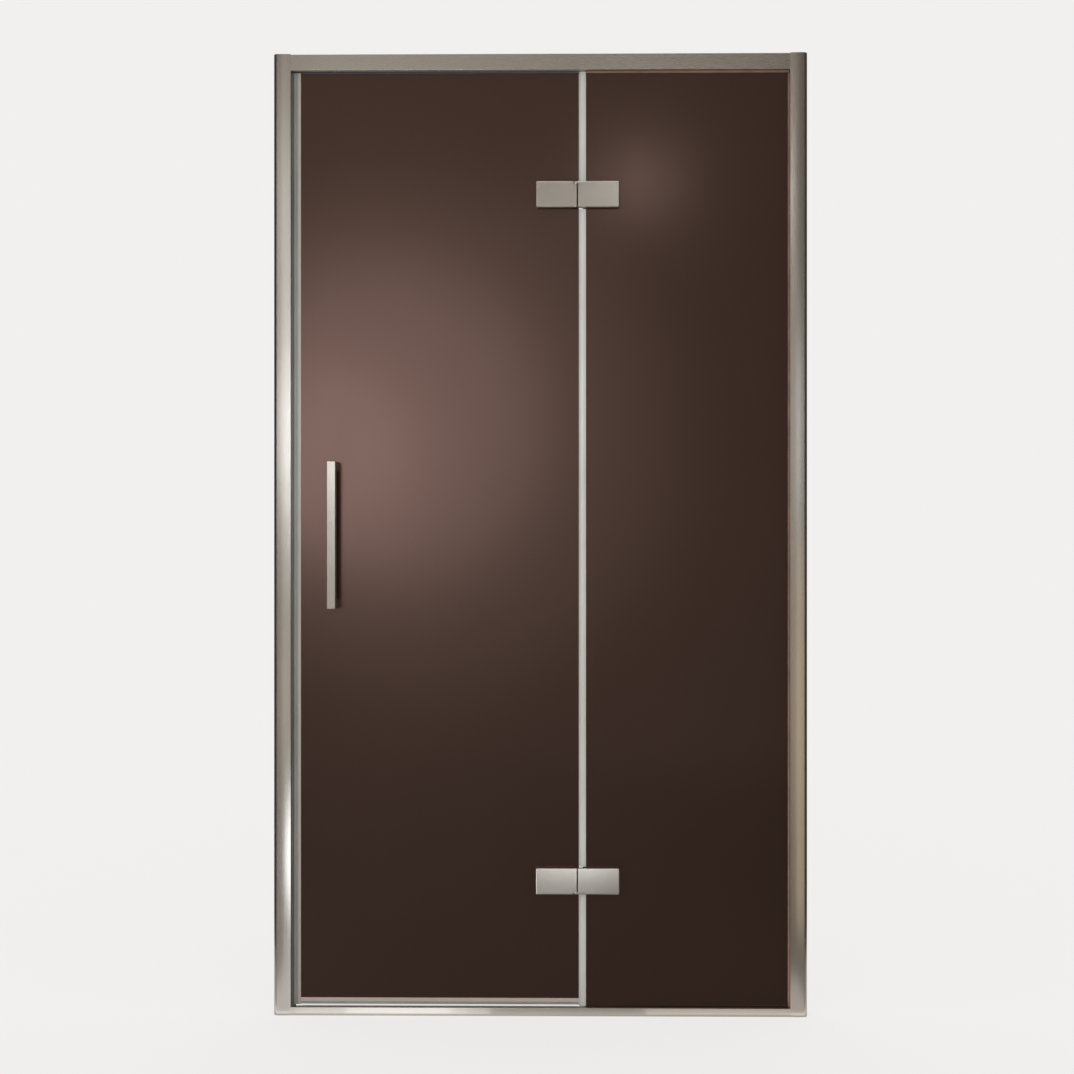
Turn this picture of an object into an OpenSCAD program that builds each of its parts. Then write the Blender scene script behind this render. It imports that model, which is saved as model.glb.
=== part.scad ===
// Hinged shower door with a fixed side panel, in a slim four-sided metal frame.
// Millimetres. X runs to the right as seen from outside the shower, the front faces -Y, +Z is up.
// The origin is on the tray, at mid width and mid depth of the threshold rail.

/* [Enclosure] */
// Width from wall to wall
frame_w = 1110; // [1000:1:1300]
// Height of the jambs above the tray
frame_h = 2000; // [1800:1:2200]
// Depth of the frame from its crowned front to its back
frame_d = 36; // [36:1:44]
// Width of each jamb seen from the front
jamb_w = 36; // [33:0.5:45]
// Height of the top rail
top_rail_h = 33.5; // [30:0.5:50]
// Height of the threshold rail
threshold_h = 17; // [16:0.5:25]
// Drop from the jamb tops to the top rail's upper face
rail_step = 1; // [0:0.5:5]
// Wall of the extruded aluminium
wall_t = 2; // [1.5:0.1:2.2]
// Bulge of the jamb fronts over their width
front_crown = 1; // [0.5:0.1:1.5]
// Rounding of the jambs' outer front edge
nose_r = 9; // [8.5:0.5:11]
// Rounding of the other visible extrusion edges
edge_soft = 1; // [0.3:0.1:1.5]

/* [Glass] */
// Thickness of both panes
glass_t = 8; // [6:1:10]
// Width of the door pane
door_glass_w = 586.5; // [480:0.5:640]
// Jamb face to the door pane's free edge
door_edge_gap = 13.5; // [13:0.5:18]
// Threshold to the door pane's lower edge
door_bottom_gap = 10; // [9:0.5:16]
// Door pane's upper edge to the top rail
door_top_gap = 3; // [2.5:0.5:6]
// Door pane's hinged edge to the fixed pane
glass_gap = 8; // [8:0.5:12]
// Fixed pane's bite in the right jamb
jamb_bite = 15; // [12:0.5:15.5]
// Fixed pane's bite in the top rail
top_bite = 14.5; // [10:0.5:15]
// Ground bevel round the panes
arris = 0.6; // [0.3:0.1:1]
// Radius of the holes in the panes
glass_hole_r = 6; // [5.8:0.1:7]

/* [Hinges] */
// Door pane's top edge down to the upper hinge's middle
hinge_drop = 255; // [120:0.5:400]
// Door pane's lower edge up to the lower hinge's middle
hinge_rise = 252.5; // [120:0.5:400]
// Reach of one leaf from the seam between the two
leaf_w = 87.2; // [84:0.1:100]
// Height of the leaves
leaf_h = 54.5; // [50:0.5:80]
// Thickness of the front leaves
leaf_t = 11.5; // [10:0.5:15]
// Corner radius of the leaves
leaf_corner_r = 5; // [2:0.5:10]
// Rounding of the leaves' front edges
leaf_edge_r = 2; // [1:0.1:2.5]
// Door pane's hinged edge to the seam between the leaves
seam_inset = 2.9; // [1:0.1:5]
// Width of that seam
seam_w = 1; // [0.8:0.1:1.5]
// Radius of the knuckles
barrel_r = 4; // [3.5:0.1:4.5]
// Depth of the hinge axis behind the leaves' front
axis_depth = 3.3; // [3:0.1:3.5]
// Radius of the hinge pin
pin_r = 2; // [1.5:0.1:2.1]
// Height of the fixed leaf's knuckle, at the hinge's outer end
ear_h = 4.5; // [3:0.5:10]
// Thickness of the backplates
backplate_t = 6; // [5:0.5:8]
// Fixed pane's free edge to the near edge of its backplates and gaskets
backplate_margin = 0.8; // [0.5:0.1:3]
// Thickness of the gaskets on the glass
gasket_t = 1; // [0.5:0.1:2]
// Seam to the nearer clamping screw
screw_near = 34; // [32:0.5:38]
// Distance between the two clamping screws of a leaf
screw_pitch = 32; // [26:0.5:34]

/* [Handle] */
// Overall length of the handle
handle_l = 304; // [200:1:450]
// Side of its square bar
handle_bar = 18.5; // [16:0.5:25]
// Reach of the handle from the glass
handle_reach = 48; // [42:0.5:65]
// Height of its middle above the tray
handle_z = 999.5; // [900:0.5:1100]
// Free edge of the door pane to the handle's middle
handle_inset = 75.5; // [45:0.5:120]
// Rounding of the bar's edges
handle_edge_r = 1.2; // [0.5:0.1:2.5]
// Radius of the round plates behind the glass
rose_r = 10; // [9:0.5:15]
// Thickness of those plates
rose_t = 5; // [4:0.5:8]

/* [Seals] */
// Wall of the extruded seals
seal_wall = 1; // [0.8:0.1:1.2]
// Depth of the closing seal's clip over the glass
strike_reach = 6; // [5:0.5:10]
// Depth of the centre seal's clip over the glass
clip_reach = 6.5; // [5:0.5:10]
// Depth of the bottom seal's clip over the glass
sweep_reach = 7; // [6:0.5:12]
// Free height under the door's bottom seal
sweep_gap = 3; // [1.5:0.1:3.5]
// Visible width of the glazing gaskets' lips on the fixed pane
lip_w = 3.7; // [2:0.1:5]
// Thickness of the jamb's magnetic seal
jamb_seal_t = 4.1; // [3.8:0.1:4.4]
// Thickness of the magnets
magnet_t = 2.2; // [1.8:0.1:2.4]
// Width of the magnets
magnet_w = 7; // [5:0.5:7.5]
// Running gap between the two magnetic seals
magnet_gap = 0.7; // [0.5:0.1:1]
// Bulge of the centre seal's cover
cover_bulge = 3; // [2:0.1:4]

/* [Fixings] */
// Radius of the wall screw holes
wall_hole_r = 2.75; // [2:0.05:3.5]
// Tray to the lowest wall screw, and the same from the top
wall_hole_inset = 160; // [60:1:300]
// Distance between the two inner wall screws
inner_hole_pitch = 560; // [300:1:700]
// Tray to the lowest jamb screw, and the same from the top
jamb_screw_inset = 250; // [80:1:400]
// Radius of the self-tapping screws
tapping_r = 1.75; // [1.5:0.05:1.9]
// Radius of the clamping screws
clamp_r = 3; // [2.5:0.1:3.2]

/* [Hidden] */
$fn = 48;

// Colours
metal = [0.72, 0.69, 0.65];
bare_metal = [0.80, 0.80, 0.79];
bronze_glass = [0.24, 0.17, 0.15];
seal_grey = [0.76, 0.76, 0.72];
dark_rubber = [0.13, 0.12, 0.12];
bronze_pvc = [0.42, 0.30, 0.27];
clear_nylon = [0.88, 0.87, 0.84];

// Clearances
slide_fit = 0.3;
snug_fit = 0.05;
pin_run_fit = 0.05;
pin_press_fit = 0.02;
over = 1;

// Frame levels and faces
half_w = frame_w / 2;
jamb_face = half_w - jamb_w;
wall_gap = 0.5;
front_y = -frame_d / 2 + front_crown;
back_y = frame_d / 2;
cap_t = 1.5;
jamb_top = frame_h - cap_t;
rail_top = frame_h - rail_step;
rail_under = rail_top - top_rail_h;
crown_r = (pow(jamb_w / 2, 2) + pow(front_crown, 2)) / (2 * front_crown);

// Glazing pocket shared by the right jamb and both rails
glass_y = glass_t / 2;
pocket_pad = 4;
pocket_y = glass_y + pocket_pad;
jamb_pocket_d = jamb_bite + 1.5;
top_pocket_d = top_bite + 2.5;
floor_t = 5;
block_t = 3;
block_l = 100;
block_inset = 60;

// Wall-side pocket of the jambs, u is measured inwards from the wall
guide_y0 = front_y + nose_r;
guide_y1 = back_y - wall_t;
leg_y = min(guide_y0, -pocket_y) - wall_t;
web_u = jamb_w - jamb_pocket_d - wall_t;
channel_reach = web_u - 4.5;
channel_y0 = guide_y0 + slide_fit;
channel_y1 = guide_y1 - slide_fit;
channel_y = (channel_y0 + channel_y1) / 2;
channel_top = jamb_top - 2;

// Panes
door_x0 = -jamb_face + door_edge_gap;
door_x1 = door_x0 + door_glass_w;
door_z0 = threshold_h + door_bottom_gap;
door_z1 = rail_under - door_top_gap;
fixed_x0 = door_x1 + glass_gap;
fixed_x1 = jamb_face + jamb_bite;
fixed_z0 = floor_t + block_t;
fixed_z1 = rail_under + top_bite;

// Hinges
seam_x = door_x1 - seam_inset;
axis_off = barrel_r + seam_w / 2;
hinge_x = seam_x - axis_off;
leaf_back_y = -(glass_y + gasket_t);
hinge_y = leaf_back_y - leaf_t + axis_depth;
upper_z = door_z1 - hinge_drop;
lower_z = door_z0 + hinge_rise;
hinge_levels = [lower_z, upper_z];
axis_edge_r = 0.8;
ear_gap = 0.8;
washer_t = 0.5;
washer_play = 0.1;
ear_z = leaf_h / 2 - ear_h;
barrel_z = ear_z - washer_t - 2 * washer_play;
backplate_start = seam_inset + glass_gap + backplate_margin;
gasket_margin = 1;
plate_edge_r = 1;
sleeve_r = glass_hole_r - slide_fit;
sleeve_bore_r = clamp_r + 0.2;
thread_depth = min(8, leaf_t - 3);
screw_xs = [screw_near, screw_near + screw_pitch];
head_r = 2 * clamp_r;
head_h = head_r - clamp_r;
sink = 0.2;

// Handle
handle_x = door_x0 + handle_inset;
post_z = handle_l / 2 - handle_bar / 2;
handle_zs = [handle_z - post_z, handle_z + post_z];
handle_back_y = leaf_back_y;
handle_front_y = -(glass_y + handle_reach);
handle_thread = 14;

// Screws of the frame
port_r = tapping_r + snug_fit;
port_y = guide_y1 - 3.5;
port_boss_r = 3.6;
port_levels = [rail_under + 6.5, rail_top - wall_t - 5.5];
threshold_port_z = threshold_h - 6.5;
tapping_grip = 20;
pan_r = 3.3;
pan_h = 2.5;
jamb_screw_u = min(6.5, channel_reach - 3);
jamb_screw_levels = [jamb_screw_inset, frame_h / 2, frame_h - jamb_screw_inset];
wall_hole_levels = [wall_hole_inset, frame_h / 2 - inner_hole_pitch / 2,
    frame_h / 2 + inner_hole_pitch / 2, frame_h - wall_hole_inset];

// Seals
clip_y = glass_y + 0.1;
clip_outer_y = clip_y + seal_wall;
clip_web = 1.2;
clip_gap = 0.1;
end_gap = 0.5;
groove_y = 5;
groove_slot_y = 3;
groove_d = 3;
groove_wall = 1.5;
sweep_z = threshold_h + sweep_gap;
seal_top = rail_under - 1.5;
jamb_seal_face = -jamb_face + jamb_seal_t;
nose_x = jamb_seal_face + magnet_gap;
head_y = magnet_w / 2 + seal_wall;

// A box given by two opposite corners
module block(a, b) {
    translate(a) cube(b - a);
}

// Cutter that leaves a quarter round at corner p, with d pointing into the shape
module corner_cut(p, d, r) {
    low = [min(p.x - d.x * over, p.x + d.x * r), min(p.y - d.y * over, p.y + d.y * r)];
    difference() {
        translate(low) square(r + over);
        translate(p + d * r) circle(r);
    }
}

// Rectangle from a to b, radii in the order low-left, low-right, high-right, high-left
module soft_rect(a, b, radii) {
    corners = [a, [b.x, a.y], b, [a.x, b.y]];
    inward = [[1, 1], [-1, 1], [-1, -1], [1, -1]];
    difference() {
        translate(a) square(b - a);
        for (i = [0:3])
            if (radii[i] > 0) corner_cut(corners[i], inward[i], radii[i]);
    }
}

// Rectangle from a to b with its four corners cut at 45 degrees
module bevel_rect(a, b, c) {
    polygon([[a.x + c, a.y], [b.x - c, a.y], [b.x, a.y + c], [b.x, b.y - c],
        [b.x - c, b.y], [a.x + c, b.y], [a.x, b.y - c], [a.x, a.y + c]]);
}

// Extrudes a profile drawn in X and Y from z0 to z1
module along_z(z0, z1) {
    translate([0, 0, z0]) linear_extrude(z1 - z0) children();
}

// Extrudes a profile drawn in Y and Z from x0 to x1
module along_x(x0, x1) {
    translate([x0, 0, 0]) rotate([90, 0, 90]) linear_extrude(x1 - x0) children();
}

// Extrudes an outline drawn in X and Z from y0 to y1
module along_y(y0, y1) {
    translate([0, y1, 0]) rotate([90, 0, 0]) linear_extrude(y1 - y0) children();
}

// Round bar along X, Y or Z
module bar_x(x0, x1, y, z, r) {
    translate([x0, y, z]) rotate([0, 90, 0]) cylinder(h = x1 - x0, r = r);
}
module bar_y(x, y0, y1, z, r) {
    translate([x, y1, z]) rotate([90, 0, 0]) cylinder(h = y1 - y0, r = r);
}
module bar_z(x, y, z0, z1, r) {
    translate([x, y, z0]) cylinder(h = z1 - z0, r = r);
}

// Puts a jamb-side shape, drawn with u inwards from the wall, on the left or right wall
module on_left() {
    translate([-half_w, 0, 0]) children();
}
module on_right() {
    translate([half_w, 0, 0]) mirror([1, 0, 0]) children();
}

// Everything behind a quarter round of radius r about the centre of the jamb's nose
module nose_region(r) {
    c = [wall_gap + nose_r, front_y - front_crown + nose_r];
    far = 2 * frame_d;
    translate(c) circle(r);
    translate([c.x, -far]) square(2 * far);
    translate([-far, c.y]) square(2 * far);
}

// Outer outline of a jamb
module jamb_outline() {
    intersection() {
        soft_rect([wall_gap, -back_y], [jamb_w, back_y], [0, edge_soft, edge_soft, edge_soft]);
        nose_region(nose_r);
        translate([(wall_gap + jamb_w) / 2, crown_r - back_y]) circle(crown_r, $fn = 200);
    }
}

// Hollow behind the jamb's front face
module front_chamber() {
    intersection() {
        translate([wall_gap, front_y + wall_t])
            square([jamb_w - wall_t - wall_gap, leg_y - front_y - wall_t]);
        nose_region(nose_r - wall_t);
    }
}

// Wall channel: web on the wall, two flanges that the jamb slides over
module wall_channel() {
    difference() {
        along_z(0, channel_top) difference() {
            translate([0, channel_y0]) square([channel_reach, channel_y1 - channel_y0]);
            translate([wall_t, channel_y0 + wall_t])
                square([channel_reach, channel_y1 - channel_y0 - 2 * wall_t]);
        }
        for (z = wall_hole_levels)
            bar_x(-over, wall_t + over, channel_y, z, wall_hole_r);
        for (z = jamb_screw_levels)
            bar_y(jamb_screw_u, channel_y1 - wall_t - over, channel_y1 + over, z, port_r);
    }
}

module left_wall_channel() {
    color(bare_metal) on_left() wall_channel();
}

module right_wall_channel() {
    color(bare_metal) on_right() wall_channel();
}

// Clearance holes for the screws that hold the rails, from u0 through the jamb's inner face
module rail_screw_holes(u0) {
    for (z = concat(port_levels, [threshold_port_z]))
        bar_x(u0, jamb_w + over, port_y, z, port_r);
}

module jamb_screw_holes() {
    for (z = jamb_screw_levels)
        bar_y(jamb_screw_u, guide_y1 - over, back_y + over, z, port_r);
}

// Strike-side jamb with the undercut groove of its magnetic seal
module left_jamb() {
    inner_u = jamb_w - wall_t;
    color(metal) on_left() difference() {
        along_z(0, jamb_top) difference() {
            jamb_outline();
            front_chamber();
            difference() {
                translate([-over, guide_y0]) square([inner_u + over, guide_y1 - guide_y0]);
                translate([inner_u - groove_d - groove_wall, -groove_y - groove_wall])
                    square([groove_d + 2 * groove_wall, 2 * (groove_y + groove_wall)]);
            }
            translate([inner_u - groove_d, -groove_y]) square([groove_d, 2 * groove_y]);
            translate([inner_u - over, -groove_slot_y])
                square([wall_t + 2 * over, 2 * groove_slot_y]);
        }
        rail_screw_holes(inner_u - over);
        jamb_screw_holes();
    }
}

// Panel-side jamb with the glazing pocket of the fixed pane
module right_jamb() {
    color(metal) on_right() difference() {
        along_z(0, jamb_top) difference() {
            jamb_outline();
            front_chamber();
            translate([-over, guide_y0]) square([web_u + over, guide_y1 - guide_y0]);
            translate([web_u + wall_t, -pocket_y])
                square([jamb_pocket_d + over, 2 * pocket_y]);
            translate([web_u + wall_t, pocket_y + wall_t])
                square([jamb_pocket_d - wall_t, guide_y1 - pocket_y - wall_t]);
        }
        rail_screw_holes(web_u - over);
        jamb_screw_holes();
    }
}

// Flat cap on a jamb's upper end, with a tongue in the front chamber
module jamb_cap() {
    tongue_l = 10;
    along_z(jamb_top, frame_h) jamb_outline();
    block([wall_gap + nose_r, front_y + wall_t + slide_fit, jamb_top - tongue_l],
        [jamb_w - wall_t - slide_fit, leg_y - slide_fit, jamb_top + cap_t / 2]);
}

module left_jamb_cap() {
    color(metal) on_left() jamb_cap();
}

module right_jamb_cap() {
    color(metal) on_right() jamb_cap();
}

// Top rail: glazing pocket below, hollow chambers, two screw ports
module top_rail() {
    pocket_top = rail_under + top_pocket_d;
    color(metal) along_x(-jamb_face, jamb_face) difference() {
        union() {
            difference() {
                soft_rect([front_y, rail_under], [back_y, rail_top],
                    [edge_soft, edge_soft, edge_soft, edge_soft]);
                translate([front_y + wall_t, pocket_top + wall_t])
                    square([guide_y1 - front_y - wall_t, rail_top - pocket_top - 2 * wall_t]);
                translate([front_y + wall_t, rail_under + wall_t])
                    square([-pocket_y - front_y - 2 * wall_t, top_pocket_d - wall_t]);
                translate([pocket_y + wall_t, rail_under + wall_t])
                    square([guide_y1 - pocket_y - wall_t, top_pocket_d - wall_t]);
                translate([-pocket_y, rail_under - over])
                    square([2 * pocket_y, top_pocket_d + over]);
            }
            for (z = port_levels)
                translate([port_y, z]) circle(port_boss_r);
        }
        for (z = port_levels)
            translate([port_y, z]) circle(port_r);
    }
}

// Threshold rail: glazing pocket above, sealant grooves below, one screw port
module threshold_rail() {
    groove_h = 5;
    groove_w = 5;
    color(metal) along_x(-jamb_face, jamb_face) difference() {
        soft_rect([front_y, 0], [back_y, threshold_h], [0, 0, edge_soft, edge_soft]);
        translate([-pocket_y, floor_t]) square([2 * pocket_y, threshold_h]);
        for (y = [front_y + wall_t, guide_y1 - groove_w])
            translate([y, -over]) square([groove_w, groove_h + over]);
        translate([front_y + wall_t, groove_h + wall_t])
            square([-pocket_y - front_y - 2 * wall_t, threshold_h - groove_h - 2 * wall_t]);
        translate([port_y, threshold_port_z]) circle(port_r);
    }
}

// Strip that closes a glazing pocket over the doorway, from its lip at z to the legs' ends
module infill(lip_z, face_z, leg_z) {
    y = pocket_y - snug_fit;
    along_x(-jamb_face, fixed_x0 - end_gap) {
        translate([-y, min(lip_z, face_z)]) square([2 * y, abs(face_z - lip_z)]);
        for (s = [-1, 1])
            translate([s * (y - wall_t / 2) - wall_t / 2, min(leg_z, face_z)])
                square([wall_t, abs(face_z - leg_z)]);
    }
}

module top_rail_infill() {
    color(metal) infill(rail_under + wall_t, rail_under, rail_under + 0.6 * top_pocket_d);
}

module threshold_infill() {
    color(metal) infill(threshold_h - wall_t, threshold_h, floor_t);
}

// Pan-head screw along +u, from the face its head bears on
module tapping_screw(u, y, z) {
    bar_x(u, jamb_w + tapping_grip, y, z, tapping_r);
    bar_x(u - pan_h, u, y, z, pan_r);
}

module corner_screws() {
    color(bare_metal) {
        for (z = concat(port_levels, [threshold_port_z])) {
            on_left() tapping_screw(jamb_w - wall_t, port_y, z);
            on_right() tapping_screw(web_u, port_y, z);
        }
    }
}

// Screws through the jambs' back flange into the wall channels
module jamb_screw(z) {
    bar_y(jamb_screw_u, channel_y1 - 2 * wall_t, back_y, z, tapping_r);
    bar_y(jamb_screw_u, back_y, back_y + pan_h, z, pan_r);
}

module jamb_screws() {
    color(bare_metal) for (z = jamb_screw_levels) {
        on_left() jamb_screw(z);
        on_right() jamb_screw(z);
    }
}

// Snap cover over a jamb screw's head
module screw_cap(z) {
    cover_h = pan_h + slide_fit + 1;
    translate([jamb_screw_u, back_y, z]) rotate([-90, 0, 0]) rotate_extrude() difference() {
        soft_rect([0, 0], [pan_r + slide_fit + 1.2, cover_h], [0, 0, 1, 0]);
        translate([-over, -over]) square([pan_r + slide_fit + over, cover_h + over - 1]);
    }
}

module jamb_screw_caps() {
    color(metal) for (z = jamb_screw_levels) {
        on_left() screw_cap(z);
        on_right() screw_cap(z);
    }
}

// Strike seal: foot in the jamb's groove, magnet case, and the lip that the door shuts against
module jamb_magnet_seal() {
    face_u = jamb_w + jamb_seal_t;
    foot_u = jamb_w - wall_t;
    lip_y = head_y + 0.6;
    lip_t = 1.4;
    color(seal_grey) on_left() along_z(threshold_h + end_gap, rail_under - end_gap) {
        difference() {
            union() {
                translate([jamb_w, -head_y]) square([jamb_seal_t, 2 * head_y]);
                translate([jamb_w, head_y]) square([seal_wall, lip_y - head_y + lip_t]);
                translate([jamb_w, lip_y]) square([jamb_seal_t + 3.5, lip_t]);
                translate([foot_u - over, snug_fit - groove_slot_y])
                    square([wall_t + 2 * over, 2 * (groove_slot_y - snug_fit)]);
                translate([foot_u - groove_d + snug_fit, snug_fit - groove_y])
                    square([groove_d - 2 * snug_fit, 2 * (groove_y - snug_fit)]);
            }
            jamb_magnet_outline(snug_fit, face_u);
        }
    }
}

// Magnet's rectangle just behind the seal's face, grown by g
module jamb_magnet_outline(g, face_u) {
    translate([face_u - 0.9 - magnet_t - g, -magnet_w / 2 - g])
        square([magnet_t + 2 * g, magnet_w + 2 * g]);
}

module jamb_magnet_strip() {
    color(dark_rubber) on_left() along_z(threshold_h + end_gap, rail_under - end_gap)
        jamb_magnet_outline(0, jamb_w + jamb_seal_t);
}

// Pane from (x0, z0) to (x1, z1), centred on y = 0, with bevelled edges
module pane(x0, x1, z0, z1) {
    intersection() {
        along_z(z0, z1) bevel_rect([x0, -glass_y], [x1, glass_y], arris);
        along_x(x0, x1) bevel_rect([-glass_y, z0], [glass_y, z1], arris);
    }
}

module glass_holes(xs, zs) {
    for (x = xs)
        for (z = zs)
            bar_y(x, -glass_y - over, glass_y + over, z, glass_hole_r);
}

module fixed_glass() {
    color(bronze_glass) difference() {
        pane(fixed_x0, fixed_x1, fixed_z0, fixed_z1);
        glass_holes([for (x = screw_xs) seam_x + x], hinge_levels);
    }
}

// Section of a glazing gasket in the plane across its length: c0 to c1 reaches from the tip of its
// lip into the pocket, in front of the glass and behind it
module gasket_section(c0, c1) {
    lip_r = 3;
    for (s = [0, 1])
        mirror([0, s]) soft_rect([c0, glass_y + snug_fit], [c1, pocket_y - snug_fit], [0, 0, 0, lip_r]);
}

module side_glazing_gaskets() {
    color(bronze_pvc)
        along_z(threshold_h + end_gap, rail_under - lip_w - end_gap)
            gasket_section(jamb_face - lip_w, fixed_x1 - over);
}

module top_glazing_gaskets() {
    color(bronze_pvc)
        along_x(fixed_x0 + clip_reach + end_gap, jamb_face - end_gap)
            rotate(90) gasket_section(rail_under - lip_w, fixed_z1 - over);
}

// Plain strips in front of the glass and behind it
module bottom_glazing_gaskets() {
    w = pocket_y - glass_y - 2 * snug_fit;
    color(dark_rubber)
        for (y = [-pocket_y + snug_fit, glass_y + snug_fit])
            block([fixed_x0 + end_gap, y, fixed_z0 + over],
                [jamb_face - end_gap, y + w, threshold_h - end_gap]);
}

// Blocks that carry the fixed pane in the threshold's pocket
module setting_blocks() {
    y = pocket_y - snug_fit;
    color(dark_rubber)
        for (x = [fixed_x0 + block_inset, jamb_face - block_inset - block_l])
            block([x, -y, floor_t], [x + block_l, y, floor_t + block_t]);
}

// Clip that grips a pane's edge, drawn for an edge at 0 with the pane on the +x side
module clip_profile(reach) {
    x0 = -clip_gap - clip_web;
    difference() {
        translate([x0, -clip_outer_y]) square([reach - x0, 2 * clip_outer_y]);
        translate([-clip_gap, -clip_y]) square([reach + over, 2 * clip_y]);
    }
}

// Seal on the fixed pane's edge: clip, soft tube towards the door, domed cover in front
module centre_seal_profile() {
    tube_r = (glass_gap - clip_gap - clip_web + 0.2 - end_gap) / 2;
    cover_x0 = 1 - glass_gap;
    half_cover = (clip_reach - cover_x0) / 2;
    dome_r = (pow(half_cover, 2) + pow(cover_bulge, 2)) / (2 * cover_bulge);
    dome_x = cover_x0 + half_cover;
    dome_y = -clip_y - cover_bulge + dome_r;
    clip_profile(clip_reach);
    translate([-clip_gap - clip_web + 0.2 - tube_r, 0]) difference() {
        circle(tube_r);
        circle(tube_r - seal_wall);
    }
    difference() {
        intersection() {
            translate([dome_x, dome_y]) circle(dome_r, $fn = 96);
            translate([cover_x0, -2 * dome_r]) square([2 * half_cover, 2 * dome_r - clip_y]);
        }
        intersection() {
            translate([dome_x, dome_y]) circle(dome_r - seal_wall, $fn = 96);
            translate([cover_x0, -2 * dome_r])
                square([2 * half_cover, 2 * dome_r - clip_outer_y]);
        }
    }
}

// The centre seal is cut out round both hinges
module centre_seal() {
    play = 1.5;
    stops = [threshold_h + end_gap, lower_z - leaf_h / 2 - play, lower_z + leaf_h / 2 + play,
        upper_z - leaf_h / 2 - play, upper_z + leaf_h / 2 + play, rail_under - end_gap];
    color(seal_grey) translate([fixed_x0, 0, 0])
        for (i = [0, 2, 4])
            along_z(stops[i], stops[i + 1]) centre_seal_profile();
}

// Places a hinge piece drawn about the seam, reaching +x; the door side is its mirror
module fixed_side(z) {
    translate([seam_x, hinge_y, z]) children();
}
module door_side(z) {
    translate([seam_x, hinge_y, z]) mirror([1, 0, 0]) children();
}

// Places a piece on the hinge axis
module on_axis(z) {
    translate([hinge_x, hinge_y, z]) children();
}

// Front leaf about the seam: plate from u on, one knuckle about x from z0 to z1, bore, blind holes
module leaf(u, x, z0, z1, bore_r) {
    y0 = -axis_depth;
    y1 = leaf_t - axis_depth;
    top = leaf_h / 2;
    difference() {
        intersection() {
            union() {
                along_z(-top, top)
                    soft_rect([u, y0], [leaf_w, y1], [axis_edge_r, leaf_edge_r, 0, 0]);
                bar_z(x, 0, z0, z1, barrel_r);
                block([x, y0, z0], [u + 2 * axis_edge_r, barrel_r, z1]);
            }
            along_y(y0 - over, y1 + over)
                soft_rect([x - barrel_r - over, -top], [leaf_w, top],
                    [0, leaf_corner_r, leaf_corner_r, 0]);
            along_x(x - barrel_r - over, leaf_w + over)
                soft_rect([y0, -top], [y1, top], [leaf_edge_r, 0, 0, leaf_edge_r]);
        }
        bar_z(x, 0, -top - over, top + over, bore_r);
        for (s = screw_xs)
            bar_y(s, y1 - thread_depth, y1 + over, 0, clamp_r + snug_fit);
    }
}

// The fixed leaf's knuckle is a short ear at the top, the door leaf's fills the rest
module fixed_leaf() {
    leaf(seam_w / 2, -axis_off, ear_z, leaf_h / 2, pin_r + pin_press_fit);
}
module door_leaf() {
    leaf(axis_off + barrel_r + ear_gap, axis_off, -leaf_h / 2, barrel_z, pin_r + pin_run_fit);
}

module upper_fixed_leaf() {
    color(metal) fixed_side(upper_z) fixed_leaf();
}

// The lower hinge is the upper one upside down, so that the door stands on its ear
module lower_fixed_leaf() {
    color(metal) fixed_side(lower_z) mirror([0, 0, 1]) fixed_leaf();
}

module upper_door_leaf() {
    color(metal) door_side(upper_z) door_leaf();
}

module lower_door_leaf() {
    color(metal) door_side(lower_z) mirror([0, 0, 1]) door_leaf();
}

// Backplate behind the glass, countersunk for its clamping screws
plate_y0 = -hinge_y + glass_y + gasket_t;
plate_y1 = plate_y0 + backplate_t;
module backplate() {
    top = leaf_h / 2;
    difference() {
        intersection() {
            along_y(plate_y0, plate_y1)
                soft_rect([backplate_start, -top], [leaf_w, top],
                    [leaf_corner_r, leaf_corner_r, leaf_corner_r, leaf_corner_r]);
            along_x(0, leaf_w + over)
                soft_rect([plate_y0, -top], [plate_y1, top], [0, plate_edge_r, plate_edge_r, 0]);
            along_z(-top, top)
                soft_rect([backplate_start, plate_y0], [leaf_w, plate_y1],
                    [0, 0, plate_edge_r, plate_edge_r]);
        }
        for (x = screw_xs)
            countersink(x, plate_y0, plate_y1);
    }
}

// Through hole along y with a countersink opening at y1
module countersink(x, y0, y1) {
    bar_y(x, y0 - over, y1 + over, 0, sleeve_bore_r);
    translate([x, y1 + sink, 0]) rotate([90, 0, 0])
        cylinder(h = head_h + 2 * sink, r1 = head_r + 2 * sink, r2 = clamp_r);
}

module upper_fixed_backplate() {
    color(metal) fixed_side(upper_z) backplate();
}

module lower_fixed_backplate() {
    color(metal) fixed_side(lower_z) backplate();
}

module upper_door_backplate() {
    color(metal) door_side(upper_z) backplate();
}

module lower_door_backplate() {
    color(metal) door_side(lower_z) backplate();
}

// Gaskets in front of and behind the glass under one hinge leaf
module leaf_gaskets() {
    top = leaf_h / 2 - gasket_margin;
    for (y = [plate_y0 - 2 * gasket_t - glass_t, plate_y0 - gasket_t])
        along_y(y, y + gasket_t) difference() {
            soft_rect([backplate_start, -top], [leaf_w - gasket_margin, top],
                [0, leaf_corner_r, leaf_corner_r, 0]);
            for (x = screw_xs)
                translate([x, 0]) circle(sleeve_r + snug_fit);
        }
}

// Nylon sleeves that keep the clamping screws off the glass
module leaf_sleeves() {
    for (x = screw_xs)
        difference() {
            bar_y(x, plate_y0 - 2 * gasket_t - glass_t, plate_y0, 0, sleeve_r);
            bar_y(x, -axis_depth, plate_y1, 0, sleeve_bore_r);
        }
}

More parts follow.
